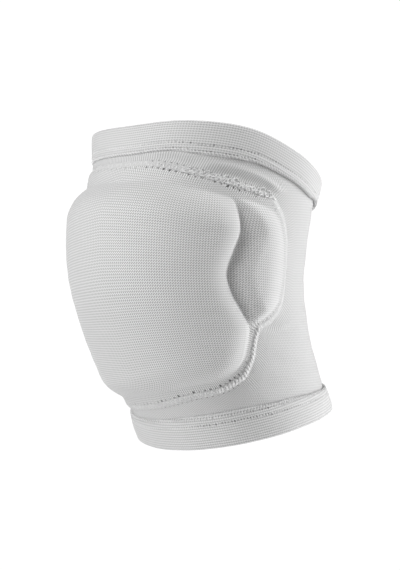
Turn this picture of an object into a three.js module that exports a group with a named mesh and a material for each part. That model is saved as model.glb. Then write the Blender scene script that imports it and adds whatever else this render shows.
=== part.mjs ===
// A knitted volleyball knee pad, in the shape that it takes on a slightly bent leg: an elastic
// sleeve with folded cuffs, a knitted front panel sewn round its edge, and the foam pads under it.
// Units are millimetres. +Z runs up the leg, -Y is the front of the knee and +X is its side.
// The origin is the middle of the leg at the height of the kneecap.
import * as THREE from "three";
import { mergeVertices } from "three/addons/utils/BufferGeometryUtils.js";

const { clamp, degToRad, lerp } = THREE.MathUtils;

// Driving sizes of the sleeve
const sleeveHeight = 185; // from the lowest point of the lower rim to the highest of the upper rim
const kneeWidth = 115; // hollow across the knee
const kneeDepth = 118; // hollow from the front of the knee to the back
const legSetback = 40; // how far the calf end of the hollow lies behind the knee
const legSquareness = 0.025; // how much fuller than an ellipse the leg is between its axes
const knitThickness = 1.5; // one layer of the sleeve's knit
const cuffHeight = 17; // width of the folded hem at each end
const cuffThickness = 1.6; // the turned-back layer of the hem
const clearance = 0.35; // left between pieces that touch
const seamGap = 0.7; // between the panel's edge and its overlocked seam

// Driving sizes of the front panel and the foam under it
const panelThickness = 1.2; // knit that covers the foam
const seamWidth = 4; // overlocked edge round the panel
const seamThickness = 1.4;
const kneeFoamThickness = 11.5; // at the middle of the kneecap
const sideFoamThickness = 7;
const foamEdge = 0.8; // the foam's thinnest edge
const grooveWidth = 2.5; // between the knee foam and a side foam
const sideMargin = 2.5; // flat panel between a side foam and the seam
const kneeShoulder = { side: 12, lowSide: 16, top: 20, bottom: 14 }; // widths over which the knee foam rises
const sideShoulder = { inner: 11, outer: 16, top: 14, bottom: 9 };
const kneeThinning = 0.3; // share of its thickness that the knee foam loses towards the groove

// Number of facets
const roundSteps = 44;
const sleeveRows = 14;
const seamStepLength = 5;

// The leg in level sections. up is a share of sleeveHeight above the kneecap, setback a share of
// legSetback, side a share of kneeWidth, and front and rear are shares of kneeDepth.
const legForm = [
  { up: -0.54, setback: 0.95, side: 0.474, front: 0.431, rear: 0.475 },
  { up: -0.405, setback: 0.71, side: 0.474, front: 0.45, rear: 0.47 },
  { up: -0.27, setback: 0.42, side: 0.478, front: 0.478, rear: 0.48 },
  { up: -0.135, setback: 0.17, side: 0.487, front: 0.492, rear: 0.485 },
  { up: 0, setback: 0, side: 0.5, front: 0.5, rear: 0.507 },
  { up: 0.135, setback: 0, side: 0.517, front: 0.513, rear: 0.527 },
  { up: 0.27, setback: 0.1, side: 0.535, front: 0.525, rear: 0.53 },
  { up: 0.405, setback: 0.31, side: 0.55, front: 0.542, rear: 0.535 },
  { up: 0.54, setback: 0.52, side: 0.565, front: 0.551, rear: 0.551 },
];

// Height of each rim by the angle round the leg, as a share of sleeveHeight. The pad is worn with
// its rims a little lower on one side.
const rims = [
  { angle: -180, upper: 0.287, lower: -0.381 },
  { angle: -150, upper: 0.3, lower: -0.386 },
  { angle: -120, upper: 0.34, lower: -0.403 },
  { angle: -90, upper: 0.4, lower: -0.432 },
  { angle: -60, upper: 0.45, lower: -0.465 },
  { angle: -30, upper: 0.47, lower: -0.492 },
  { angle: 0, upper: 0.4795, lower: -0.503 },
  { angle: 30, upper: 0.49, lower: -0.492 },
  { angle: 60, upper: 0.47, lower: -0.465 },
  { angle: 90, upper: 0.408, lower: -0.432 },
  { angle: 120, upper: 0.344, lower: -0.403 },
  { angle: 150, upper: 0.302, lower: -0.386 },
  { angle: 180, upper: 0.287, lower: -0.381 },
];

// The front panel by its own height, from 0 at its lower seam to 1 at its upper seam: the angle
// of the groove that ends the knee foam, and of the panel's edge.
const panelSides = [
  { up: 0, groove: 54, edge: 58.5 },
  { up: 0.1, groove: 63, edge: 65.7 },
  { up: 0.17, groove: 66.5, edge: 68.8 },
  { up: 0.23, groove: 68.5, edge: 71.5 },
  { up: 0.28, groove: 69.3, edge: 75 },
  { up: 0.33, groove: 68.8, edge: 84.5 },
  { up: 0.4, groove: 66.3, edge: 92.6 },
  { up: 0.48, groove: 62.8, edge: 96.5 },
  { up: 0.57, groove: 61, edge: 98.2 },
  { up: 0.67, groove: 63.6, edge: 98.3 },
  { up: 0.78, groove: 66.5, edge: 96.5 },
  { up: 0.89, groove: 63.5, edge: 91.8 },
  { up: 1, groove: 56, edge: 82.5 },
];

// The panel's lower and upper edge, across from -1 at one side to 1 at the other, as shares of
// sleeveHeight.
const panelEnds = [
  { across: -1, lower: -0.3, upper: 0.251 },
  { across: -0.7, lower: -0.358, upper: 0.305 },
  { across: -0.35, lower: -0.358, upper: 0.338 },
  { across: 0, lower: -0.35, upper: 0.346 },
  { across: 0.25, lower: -0.334, upper: 0.345 },
  { across: 0.5, lower: -0.316, upper: 0.318 },
  { across: 0.75, lower: -0.3, upper: 0.285 },
  { across: 1, lower: -0.262, upper: 0.25 },
];

// Where the foams start and end on the panel's own height, and how full the knee foam is there.
const kneeFoamSpan = { from: 0.035, to: 0.94 };
const sideFoamSpan = { from: 0.3, to: 0.95 };

// Where the knee foam's side turns from sloped, below the groove, to round.
const belowGroove = { from: 0.16, to: 0.34 };
const kneeFullness = [
  { up: 0, share: 0.7 },
  { up: 0.2, share: 0.71 },
  { up: 0.4, share: 0.84 },
  { up: 0.65, share: 0.99 },
  { up: 1, share: 1.06 },
];

// Places of the panel's columns within the knee foam, a side foam and the margin, and of its rows.
const kneeColumns = [0, 0.13, 0.26, 0.39, 0.52, 0.65, 0.77, 0.86, 0.92, 0.965, 1];
const sideColumns = [0, 0.08, 0.22, 0.42, 0.62, 0.82, 0.94, 1];
const panelRows = [
  0, 0.035, 0.06, 0.09, 0.13, 0.18, 0.22, 0.25, 0.275, 0.3, 0.325, 0.35, 0.38, 0.42, 0.47, 0.53, 0.6,
  0.67, 0.74, 0.81, 0.87, 0.91, 0.94, 0.95, 1,
];

// Smooth curve through one column of a table, whose rows ascend along another.
function readTable(rows, along, column, at) {
  const last = rows.length - 1;
  const x = clamp(at, rows[0][along], rows[last][along]);
  let i = 0;
  while (i < last - 1 && x > rows[i + 1][along]) i += 1;
  const slope = (k) => {
    const before = rows[Math.max(k - 1, 0)];
    const after = rows[Math.min(k + 1, last)];
    return (after[column] - before[column]) / (after[along] - before[along]);
  };
  const step = rows[i + 1][along] - rows[i][along];
  const t = (x - rows[i][along]) / step;
  const blend = t * t * (3 - 2 * t);
  return (
    lerp(rows[i][column], rows[i + 1][column], blend) +
    step * (t * (1 - t) ** 2 * slope(i) - t * t * (1 - t) * slope(i + 1))
  );
}

// The leg's surface at an angle, 0 in front and 90 towards +X, and a height.
function legPoint(angle, height) {
  const a = degToRad(angle);
  const up = height / sleeveHeight;
  const depth = kneeDepth * readTable(legForm, "up", Math.cos(a) > 0 ? "front" : "rear", up);
  const width = kneeWidth * readTable(legForm, "up", "side", up);
  const middle = legSetback * readTable(legForm, "up", "setback", up);
  const fullness = 1 + legSquareness * Math.sin(2 * a) ** 2;
  return new THREE.Vector3(
    width * fullness * Math.sin(a),
    middle - depth * fullness * Math.cos(a),
    height,
  );
}

// A point that far outside the leg, square to its surface.
function overLeg({ angle, height }, out) {
  const round = legPoint(angle + 0.5, height).sub(legPoint(angle - 0.5, height));
  const along = legPoint(angle, height + 0.5).sub(legPoint(angle, height - 0.5));
  return legPoint(angle, height).addScaledVector(round.cross(along).normalize(), out);
}

function rimHeight(angle, rim) {
  return sleeveHeight * readTable(rims, "angle", rim, angle);
}

const millimetresPerDegree = degToRad(kneeWidth / 2);

// Faces between two neighbouring rows of points, each a list of the same length.
function addBand(faces, lower, upper) {
  for (let i = 0; i + 1 < lower.length; i += 1) {
    faces.push(lower[i], lower[i + 1], upper[i + 1], lower[i], upper[i + 1], upper[i]);
  }
}

function geometryOf(faces) {
  const geometry = new THREE.BufferGeometry().setFromPoints(faces);
  const merged = mergeVertices(geometry, 1e-4);
  merged.computeVertexNormals();
  return merged;
}

// A ring: sections are closed outlines that go up on the outside, and the last meets the first.
function ringGeometry(sections) {
  const faces = [];
  const closed = (outline) => [...outline, outline[0]];
  sections.forEach((outline, i) => {
    addBand(faces, closed(sections[(i + 1) % sections.length]), closed(outline));
  });
  return geometryOf(faces);
}

// A slab between two grids of the same size, given as rows from low to high, left to right. Both
// grids are split along the same diagonals, so slabs that lie on each other stay apart.
function slabGeometry(outer, inner) {
  const faces = [];
  const innerFaces = [];
  const last = outer.length - 1;
  const end = outer[0].length - 1;
  for (let j = 0; j < last; j += 1) {
    addBand(faces, outer[j], outer[j + 1]);
    addBand(innerFaces, inner[j], inner[j + 1]);
    addBand(faces, [inner[j][0], outer[j][0]], [inner[j + 1][0], outer[j + 1][0]]);
    addBand(faces, [outer[j][end], inner[j][end]], [outer[j + 1][end], inner[j + 1][end]]);
  }
  addBand(faces, inner[0], outer[0]);
  addBand(faces, outer[last], inner[last]);
  return geometryOf([...faces, ...innerFaces.reverse()]);
}

// Levels over the leg
const panelFloor = knitThickness + clearance;
const hemInside = knitThickness + clearance;
const hemOutside = hemInside + cuffThickness;

const roundAngles = Array.from({ length: roundSteps }, (_, i) => (360 * i) / roundSteps - 180);

// The knitted tube. It ends inside the fold of each cuff.
function sleeveGeometry() {
  const fold = cuffThickness + clearance;
  const sections = roundAngles.map((angle) => {
    const low = rimHeight(angle, "lower") + fold;
    const high = rimHeight(angle, "upper") - fold;
    const at = (row, out) => overLeg({ angle, height: lerp(low, high, row / sleeveRows) }, out);
    const rows = Array.from({ length: sleeveRows + 1 }, (_, row) => row);
    return [
      ...rows.map((row) => at(row, knitThickness)),
      ...rows.reverse().map((row) => at(row, 0)),
    ];
  });
  return ringGeometry(sections);
}

// The end of the sleeve turned back on its outside, with the fold at the rim.
function cuffGeometry(rim) {
  const inward = rim === "upper" ? -1 : 1;
  const softening = cuffThickness / 2;
  const profile = [
    { out: hemOutside, drop: cuffHeight },
    { out: hemOutside, drop: softening },
    { out: hemOutside - softening, drop: 0 },
    { out: softening, drop: 0 },
    { out: 0, drop: softening },
    { out: 0, drop: cuffThickness },
    { out: hemInside, drop: cuffThickness },
    { out: hemInside, drop: cuffHeight },
  ];
  const ordered = rim === "upper" ? profile : profile.reverse();
  const sections = roundAngles.map((angle) =>
    ordered.map(({ out, drop }) =>
      overLeg({ angle, height: rimHeight(angle, rim) + inward * drop }, out),
    ),
  );
  return ringGeometry(sections);
}

// A column of the panel: the zone that it lies in, its share of that zone, and its side, -1 or 1.
function panelColumns() {
  const half = [
    ...kneeColumns.map((share) => ({ zone: "knee", share })),
    ...sideColumns.map((share) => ({ zone: "side", share })),
    { zone: "margin", share: 1 },
  ];
  const left = half.slice(1).reverse();
  return [...left.map((c) => ({ ...c, side: -1 })), ...half.map((c) => ({ ...c, side: 1 }))];
}

// A spot of the panel at an angle and its own height, with its height on the leg and its
// distances from the ends of the foams.
function panelSpot(angle, up) {
  const groove = readTable(panelSides, "up", "groove", up);
  const edge = readTable(panelSides, "up", "edge", up);
  const across = angle / edge;
  const lower = sleeveHeight * readTable(panelEnds, "across", "lower", across);
  const upper = sleeveHeight * readTable(panelEnds, "across", "upper", across);
  const tall = upper - lower;
  const fromMiddle = Math.abs(angle) * millimetresPerDegree;
  const grooveAt = groove * millimetresPerDegree;
  const sideEnd = edge * millimetresPerDegree - sideMargin;
  const ends = (span) => ({ top: (span.to - up) * tall, bottom: (up - span.from) * tall });
  return {
    angle,
    up,
    height: lerp(lower, upper, up),
    inGroove: fromMiddle / grooveAt,
    knee: { side: grooveAt - fromMiddle, ...ends(kneeFoamSpan) },
    side: {
      inner: fromMiddle - grooveAt - grooveWidth,
      outer: sideEnd - fromMiddle,
      ...ends(sideFoamSpan),
    },
  };
}

function columnAngle({ zone, share, side }, up) {
  const groove = readTable(panelSides, "up", "groove", up);
  const edge = readTable(panelSides, "up", "edge", up);
  const sideFrom = groove + grooveWidth / millimetresPerDegree;
  const sideTo = edge - sideMargin / millimetresPerDegree;
  if (zone === "knee") return side * share * groove;
  if (zone === "side") return side * lerp(sideFrom, sideTo, share);
  return side * edge;
}

// How far a foam has risen at a distance from its edge: round at its sides, sloped at its ends.
const roundRise = (distance, width) => Math.sqrt(1 - (1 - clamp(distance / width, 0, 1)) ** 2);
const slopedRise = (distance, width) => 1 - (1 - clamp(distance / width, 0, 1)) ** 2;

function kneeFoamAt(spot) {
  const fullness = readTable(kneeFullness, "up", "share", spot.up);
  return (
    kneeFoamThickness *
    fullness *
    (1 - kneeThinning * spot.inGroove ** 2) *
    lerp(
      slopedRise(spot.knee.side, kneeShoulder.lowSide),
      roundRise(spot.knee.side, kneeShoulder.side),
      clamp((spot.up - belowGroove.from) / (belowGroove.to - belowGroove.from), 0, 1),
    ) *
    slopedRise(spot.knee.top, kneeShoulder.top) *
    slopedRise(spot.knee.bottom, kneeShoulder.bottom)
  );
}

function sideFoamAt(spot) {
  return (
    sideFoamThickness *
    slopedRise(spot.side.inner, sideShoulder.inner) *
    slopedRise(spot.side.outer, sideShoulder.outer) *
    slopedRise(spot.side.top, sideShoulder.top) *
    slopedRise(spot.side.bottom, sideShoulder.bottom)
  );
}

const within = (up, span) => up >= span.from && up <= span.to;

// Thickness of the foam under a node of the panel, 0 where there is none.
function foamUnder(column, up) {
  const spot = panelSpot(columnAngle(column, up), up);
  if (column.zone === "knee" && within(up, kneeFoamSpan)) return Math.max(foamEdge, kneeFoamAt(spot));
  if (column.zone === "side" && within(up, sideFoamSpan)) return Math.max(foamEdge, sideFoamAt(spot));
  return 0;
}

// A grid of points over part of the panel, at a level that each column and row works out.
function panelGrid(columns, rows, level) {
  return rows.map((up) =>
    columns.map((column) =>
      overLeg(panelSpot(columnAngle(column, up), up), level(column, up)),
    ),
  );
}

const panelInside = (column, up) => {
  const foam = foamUnder(column, up);
  return panelFloor + (foam > 0 ? foam + clearance : 0);
};

// The knit over the foam, from seam to seam.
function panelGeometry() {
  const columns = panelColumns();
  const outside = panelGrid(columns, panelRows, (c, up) => panelInside(c, up) + panelThickness);
  return slabGeometry(outside, panelGrid(columns, panelRows, panelInside));
}

function foamGeometry(columns, span) {
  const rows = panelRows.filter((up) => within(up, span));
  const outside = panelGrid(columns, rows, (c, up) => panelFloor + foamUnder(c, up));
  return slabGeometry(outside, panelGrid(columns, rows, () => panelFloor));
}

// The panel's outline, anticlockwise from its lower left corner, in steps of about that length.
function panelOutline() {
  const sides = [
    { from: [-1, 0], to: [1, 0] },
    { from: [1, 0], to: [1, 1] },
    { from: [1, 1], to: [-1, 1] },
    { from: [-1, 1], to: [-1, 0] },
  ];
  const dense = sides.flatMap(({ from, to }) => {
    const steps = 60;
    return Array.from({ length: steps }, (_, i) => {
      const across = lerp(from[0], to[0], i / steps);
      const up = lerp(from[1], to[1], i / steps);
      const spot = panelSpot(across * readTable(panelSides, "up", "edge", up), up);
      return new THREE.Vector2(spot.angle * millimetresPerDegree, spot.height);
    });
  });
  const curve = new THREE.SplineCurve([...dense, dense[0]]);
  const count = Math.round(curve.getLength() / seamStepLength);
  return curve.getSpacedPoints(count).slice(0, count);
}

// The overlocked edge that joins the panel to the sleeve, a low rounded band beside the panel.
function seamGeometry() {
  const outline = panelOutline();
  const profile = [
    { beside: seamGap, rise: 0 },
    { beside: seamGap + seamWidth, rise: 0 },
    { beside: seamGap + seamWidth * 0.92, rise: seamThickness * 0.7 },
    { beside: seamGap + seamWidth * 0.5, rise: seamThickness },
    { beside: seamGap + seamWidth * 0.08, rise: seamThickness * 0.7 },
  ];
  const sections = outline.map((point, i) => {
    const next = outline[(i + 1) % outline.length];
    const previous = outline.at(i - 1);
    const along = next.clone().sub(previous).normalize();
    return profile.map(({ beside, rise }) => {
      const x = point.x + along.y * beside;
      const height = point.y - along.x * beside;
      return overLeg({ angle: x / millimetresPerDegree, height }, panelFloor + rise);
    });
  });
  return ringGeometry(sections);
}

const knit = new THREE.MeshStandardMaterial({ color: 0xdcdcdc, roughness: 0.9, metalness: 0 });
const coverKnit = new THREE.MeshStandardMaterial({ color: 0xd6d6d6, roughness: 0.88, metalness: 0 });
const seamThread = new THREE.MeshStandardMaterial({ color: 0xe6e6e6, roughness: 0.8, metalness: 0 });
const foam = new THREE.MeshStandardMaterial({ color: 0xcfcfca, roughness: 0.95, metalness: 0 });

const kneePad = new THREE.Group();

function addPiece(name, geometry, material) {
  const piece = new THREE.Mesh(geometry, material);
  piece.name = name;
  kneePad.add(piece);
}

addPiece("sleeve", sleeveGeometry(), knit);
addPiece("upper_cuff", cuffGeometry("upper"), knit);
addPiece("lower_cuff", cuffGeometry("lower"), knit);
addPiece("front_panel", panelGeometry(), coverKnit);
addPiece("panel_seam", seamGeometry(), seamThread);

const inZone = (zone, side) => (c) => c.zone === zone && (!side || c.side === side);
addPiece("knee_foam", foamGeometry(panelColumns().filter(inZone("knee")), kneeFoamSpan), foam);
for (const [name, side] of [["side_foam_left", -1], ["side_foam_right", 1]]) {
  const columns = panelColumns().filter(inZone("side", side));
  addPiece(name, foamGeometry(columns, sideFoamSpan), foam);
}

export default kneePad;
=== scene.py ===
import bpy
import numpy as np
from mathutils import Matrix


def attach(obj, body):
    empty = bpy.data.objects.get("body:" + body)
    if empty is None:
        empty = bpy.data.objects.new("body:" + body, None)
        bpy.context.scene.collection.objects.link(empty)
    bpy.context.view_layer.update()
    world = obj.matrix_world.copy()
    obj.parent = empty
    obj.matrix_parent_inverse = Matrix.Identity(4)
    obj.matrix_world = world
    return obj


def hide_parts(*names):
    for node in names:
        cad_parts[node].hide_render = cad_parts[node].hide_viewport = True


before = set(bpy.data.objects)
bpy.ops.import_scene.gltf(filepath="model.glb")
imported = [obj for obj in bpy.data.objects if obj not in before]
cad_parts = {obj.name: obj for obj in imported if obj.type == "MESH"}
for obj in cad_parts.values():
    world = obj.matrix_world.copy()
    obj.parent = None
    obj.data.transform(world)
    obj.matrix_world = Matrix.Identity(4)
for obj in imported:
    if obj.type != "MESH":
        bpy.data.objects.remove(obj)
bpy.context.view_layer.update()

# The foam pads are moulded soft foam: a large one over the kneecap, thickest in the middle and at
# the top, and a smaller one past a deep groove on each side. They take the form of the leg, which
# doesn't show. Lengths are in millimetres from the middle of the kneecap, angles in degrees from
# the front towards +X.
MM = 0.001
SLEEVE_HEIGHT = 185.0
KNEE_WIDTH = 115.0
KNEE_DEPTH = 118.0
LEG_SETBACK = 40.0
LEG_SQUARENESS = 0.025
leg_heights = SLEEVE_HEIGHT * np.array([-0.54, -0.405, -0.27, -0.135, 0, 0.135, 0.27, 0.405, 0.54])
leg_middles = LEG_SETBACK * np.array([0.95, 0.71, 0.42, 0.17, 0, 0, 0.1, 0.31, 0.52])
leg_sides = KNEE_WIDTH * np.array([0.474, 0.474, 0.478, 0.487, 0.5, 0.517, 0.535, 0.55, 0.565])
leg_fronts = KNEE_DEPTH * np.array([0.431, 0.45, 0.478, 0.492, 0.5, 0.513, 0.525, 0.542, 0.551])
leg_rears = KNEE_DEPTH * np.array([0.475, 0.47, 0.48, 0.485, 0.507, 0.527, 0.53, 0.535, 0.551])

KNIT_THICKNESS = 1.5
CLEARANCE = 0.35
PANEL_FLOOR = KNIT_THICKNESS + CLEARANCE
KNEE_FOAM = 11.5
SIDE_FOAM = 7.0
FOAM_EDGE = 0.8
GROOVE_WIDTH = 2.5
SIDE_MARGIN = 2.5
KNEE_SHOULDER = {"side": 12, "low_side": 16, "top": 20, "bottom": 14}
SIDE_SHOULDER = {"inner": 11, "outer": 16, "top": 14, "bottom": 9}
KNEE_THINNING = 0.3
MM_PER_DEGREE = np.radians(KNEE_WIDTH / 2)
knee_span = (0.035, 0.94)
side_span = (0.3, 0.95)
below_groove = (0.16, 0.34)
fullness_rows = np.array([0, 0.2, 0.4, 0.65, 1])
knee_fullness = np.array([0.7, 0.71, 0.84, 0.99, 1.06])

side_rows = np.array([0, 0.1, 0.17, 0.23, 0.28, 0.33, 0.4, 0.48, 0.57, 0.67, 0.78, 0.89, 1])
groove_angles = np.array([54, 63, 66.5, 68.5, 69.3, 68.8, 66.3, 62.8, 61.0, 63.6, 66.5, 63.5, 56])
edge_angles = np.array([58.5, 65.7, 68.8, 71.5, 75.0, 84.5, 92.6, 96.5, 98.2, 98.3, 96.5, 91.8, 82.5])
end_places = np.array([-1, -0.7, -0.35, 0, 0.25, 0.5, 0.75, 1])
panel_lower = SLEEVE_HEIGHT * np.array([-0.3, -0.358, -0.358, -0.35, -0.334, -0.316, -0.3, -0.262])
panel_upper = SLEEVE_HEIGHT * np.array([0.251, 0.305, 0.338, 0.346, 0.345, 0.318, 0.285, 0.25])


def curve_through(places, values, at):
    """A smooth curve through values at ascending places, read at any places."""
    at = np.clip(at, places[0], places[-1])
    spot = np.clip(np.searchsorted(places, at, side="left") - 1, 0, len(places) - 2)
    before = np.maximum(np.arange(len(places)) - 1, 0)
    after = np.minimum(np.arange(len(places)) + 1, len(places) - 1)
    slopes = (values[after] - values[before]) / (places[after] - places[before])
    step = places[spot + 1] - places[spot]
    t = (at - places[spot]) / step
    blend = t * t * (3 - 2 * t)
    level = values[spot] * (1 - blend) + values[spot + 1] * blend
    lean = t * (1 - t) ** 2 * slopes[spot] - t * t * (1 - t) * slopes[spot + 1]
    return level + step * lean


def leg_point(angle, height):
    """The leg's own surface. Its level sections are a little fuller than ellipses."""
    a = np.radians(angle)
    front = curve_through(leg_heights, leg_fronts, height)
    rear = curve_through(leg_heights, leg_rears, height)
    depth = np.where(np.cos(a) > 0, front, rear)
    fullness = 1 + LEG_SQUARENESS * np.sin(2 * a) ** 2
    x = curve_through(leg_heights, leg_sides, height) * fullness * np.sin(a)
    y = curve_through(leg_heights, leg_middles, height) - depth * fullness * np.cos(a)
    return np.stack([x, y, height + 0 * a], axis=-1)


def over_leg(angle, height, out):
    """A point that far outside the leg, square to its surface."""
    angle, height, out = np.broadcast_arrays(angle, height, out)
    around = leg_point(angle + 0.5, height) - leg_point(angle - 0.5, height)
    along = leg_point(angle, height + 0.5) - leg_point(angle, height - 0.5)
    away = np.cross(around, along)
    away /= np.linalg.norm(away, axis=-1, keepdims=True)
    return leg_point(angle, height) + away * out[..., None]


def panel_height(angle, up):
    """The height of a spot of the panel, up from 0 at its lower edge to 1, and its whole height
    there."""
    across = angle / curve_through(side_rows, edge_angles, up)
    low = curve_through(end_places, panel_lower, across)
    high = curve_through(end_places, panel_upper, across)
    return low + (high - low) * up, high - low


def hump(distance, width):
    """1 in the middle, falling smoothly to nothing over about twice the width."""
    return np.exp(-((distance / width) ** 2))


def round_rise(distance, width):
    return np.sqrt(1 - (1 - np.clip(distance / width, 0, 1)) ** 2)


def sloped_rise(distance, width):
    return 1 - (1 - np.clip(distance / width, 0, 1)) ** 2


def foam_heights(angle, up):
    """Thickness of the knee foam and of the side foam at a spot of the panel."""
    groove = curve_through(side_rows, groove_angles, up) * MM_PER_DEGREE
    edge = curve_through(side_rows, edge_angles, up) * MM_PER_DEGREE
    height, tall = panel_height(angle, up)
    out = np.abs(angle) * MM_PER_DEGREE
    low_rise = sloped_rise(groove - out, KNEE_SHOULDER["low_side"])
    side_rise = round_rise(groove - out, KNEE_SHOULDER["side"])
    above = np.clip((up - below_groove[0]) / (below_groove[1] - below_groove[0]), 0, 1)
    knee = (
        KNEE_FOAM
        * curve_through(fullness_rows, knee_fullness, up)
        * (1 - KNEE_THINNING * (out / groove) ** 2)
        * (1 - 0.12 * hump(np.hypot(angle + 47, height - 34), 14))
        * (low_rise + (side_rise - low_rise) * above)
        * sloped_rise((knee_span[1] - up) * tall, KNEE_SHOULDER["top"])
        * sloped_rise((up - knee_span[0]) * tall, KNEE_SHOULDER["bottom"])
    )
    side = (
        SIDE_FOAM
        * sloped_rise(out - groove - GROOVE_WIDTH, SIDE_SHOULDER["inner"])
        * sloped_rise(edge - SIDE_MARGIN - out, SIDE_SHOULDER["outer"])
        * sloped_rise((side_span[1] - up) * tall, SIDE_SHOULDER["top"])
        * sloped_rise((up - side_span[0]) * tall, SIDE_SHOULDER["bottom"])
    )
    return np.where(out < groove, knee, 0), np.where(out > groove + GROOVE_WIDTH, side, 0)


def lattice_faces(rows, columns, wrap):
    """Quads of a lattice, as places among its points and among its charts' points. With wrap,
    the last column meets the first, and a chart has one column more."""
    steps = columns if wrap else columns - 1
    row, column = np.meshgrid(np.arange(rows - 1), np.arange(steps), indexing="ij")
    row, column = row.ravel(), column.ravel()
    corners = ((row, column), (row, column + 1), (row + 1, column + 1), (row + 1, column))
    faces = np.stack([r * columns + c % columns for r, c in corners], axis=1)
    mapped = np.stack([r * (steps + 1) + c for r, c in corners], axis=1)
    return faces, mapped


def add_back(faces, mapped, count):
    """Close a sheet of count points with a second sheet behind it and a rim between them."""
    ends = np.stack([faces, np.roll(faces, -1, axis=1)], axis=-1).reshape(-1, 2)
    charts = np.stack([mapped, np.roll(mapped, -1, axis=1)], axis=-1).reshape(-1, 2)
    ahead = ends[:, 0] * count + ends[:, 1]
    backward = ends[:, 1] * count + ends[:, 0]
    free = ~np.isin(ahead, backward)
    start, end = ends[free].T
    chart_start, chart_end = charts[free].T
    rim = np.stack([end, start, start + count, end + count], axis=1)
    rim_mapped = np.stack([chart_end, chart_start, chart_start, chart_end], axis=1)
    all_faces = np.concatenate([faces, faces[:, ::-1] + count, rim])
    return all_faces, np.concatenate([mapped, mapped[:, ::-1], rim_mapped])


def make_piece(name, points, faces, material, charts=None, mapped=None, shares=None, turns=None):
    """A smooth piece from points in millimetres. Each chart gives pairs for the places in mapped,
    and turns how much it grows once round. Each share gives a number for every point."""
    mesh = bpy.data.meshes.new(name)
    mesh.from_pydata((points.reshape(-1, 3) * MM).tolist(), [], faces.tolist())
    for layer, chart in (charts or {}).items():
        corners = chart.reshape(-1, 2)[mapped]
        if turns and layer in turns:
            behind = corners[..., 0].max(axis=1, keepdims=True) - corners[..., 0]
            corners[..., 0] += turns[layer] * (behind > turns[layer] / 2)
        mesh.uv_layers.new(name=layer).data.foreach_set("uv", corners.ravel())
    for layer, share in (shares or {}).items():
        mesh.attributes.new(layer, "FLOAT", "POINT").data.foreach_set("value", share.ravel())
    mesh.polygons.foreach_set("use_smooth", [True] * len(mesh.polygons))
    mesh.materials.append(material)
    piece = bpy.data.objects.new(name, mesh)
    bpy.context.collection.objects.link(piece)
    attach(piece, "root")
    return piece


def maths(nodes, links, operation, *values):
    """A Math node, with numbers or sockets as its values."""
    node = nodes.new("ShaderNodeMath")
    node.operation = operation
    for socket, value in zip(node.inputs, values):
        if isinstance(value, (int, float)):
            socket.default_value = value
        else:
            links.new(value, socket)
    return node.outputs[0]


PIT_LEVEL = 0.3


def white_cloth(name, colour, pit_shade, depth, sheen, pattern):
    """A white material. Its pattern(nodes, links) gives its relief: 1 on the loops, PIT_LEVEL
    between them and 0 down a needle hole. The same relief sets its colour as painted shade:
    pit_shade of the colour in the pits and a tenth of it down a hole."""
    material = bpy.data.materials.new(name)
    material.use_nodes = True
    nodes, links = material.node_tree.nodes, material.node_tree.links
    shader = nodes["Principled BSDF"]
    shader.inputs["Roughness"].default_value = 0.85
    shader.inputs["Specular IOR Level"].default_value = 0.2
    shader.inputs["Sheen Weight"].default_value = sheen
    shader.inputs["Sheen Roughness"].default_value = 0.5
    relief = pattern(nodes, links)
    bump = nodes.new("ShaderNodeBump")
    bump.inputs["Strength"].default_value = 1.0
    bump.inputs["Distance"].default_value = depth * MM
    links.new(relief, bump.inputs["Height"])
    links.new(bump.outputs["Normal"], shader.inputs["Normal"])
    # Painted shade: the ramp darkens the colour in the pits between the loops, and most of all down the
    # needle holes, for the shade that falls into them.
    shade = nodes.new("ShaderNodeValToRGB")
    shade.color_ramp.elements.new(PIT_LEVEL)
    hole_and_shade, painted_pit_shade, top = shade.color_ramp.elements
    hole_and_shade.color = (*[c * 0.1 for c in colour], 1)
    painted_pit_shade.color = (*[c * pit_shade for c in colour], 1)
    top.color = (*colour, 1)
    links.new(relief, shade.inputs["Fac"])
    links.new(shade.outputs["Color"], shader.inputs["Base Color"])
    return material


def foam_cells(nodes, links):
    """The fine open cells of the foam."""
    cells = nodes.new("ShaderNodeTexVoronoi")
    cells.inputs["Scale"].default_value = 1400
    place = nodes.new("ShaderNodeTexCoord")
    links.new(place.outputs["Object"], cells.inputs["Vector"])
    return maths(nodes, links, "MULTIPLY_ADD", cells.outputs["Distance"], 0.9, PIT_LEVEL)


pad_foam = white_cloth("pad_foam", (0.78, 0.78, 0.74), 0.6, 0.2, 0.0, foam_cells)


def make_foam(name, node, angle, up, which):
    """A closed pad on the panel's lattice of angle and up."""
    height, _ = panel_height(angle, up)
    thickness = np.maximum(foam_heights(angle, up)[which], FOAM_EDGE)
    front = over_leg(angle, height, PANEL_FLOOR + thickness)
    back = over_leg(angle, height, PANEL_FLOOR)
    faces, mapped = lattice_faces(*angle.shape, wrap=False)
    faces, _ = add_back(faces, mapped, angle.size)
    points = np.concatenate([front.reshape(-1, 3), back.reshape(-1, 3)])
    foam = make_piece(name, points, faces, pad_foam)
    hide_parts(node)


knee_up = np.linspace(*knee_span, 70)[:, None]
knee_share = np.sin(np.linspace(-np.pi / 2, np.pi / 2, 91))
knee_angles = curve_through(side_rows, groove_angles, knee_up) * knee_share
make_foam("foam_knee", "knee_foam", knee_angles, knee_up, 0)

side_up = np.linspace(*side_span, 60)[:, None]
side_share = (1 - np.cos(np.linspace(0, np.pi, 31))) / 2
side_start = curve_through(side_rows, groove_angles, side_up) + GROOVE_WIDTH / MM_PER_DEGREE
side_stop = curve_through(side_rows, edge_angles, side_up) - SIDE_MARGIN / MM_PER_DEGREE
side_angles = side_start + (side_stop - side_start) * side_share
make_foam("foam_side_right", "side_foam_right", side_angles, side_up, 1)
make_foam("foam_side_left", "side_foam_left", -side_angles[:, ::-1], side_up, 1)

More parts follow.
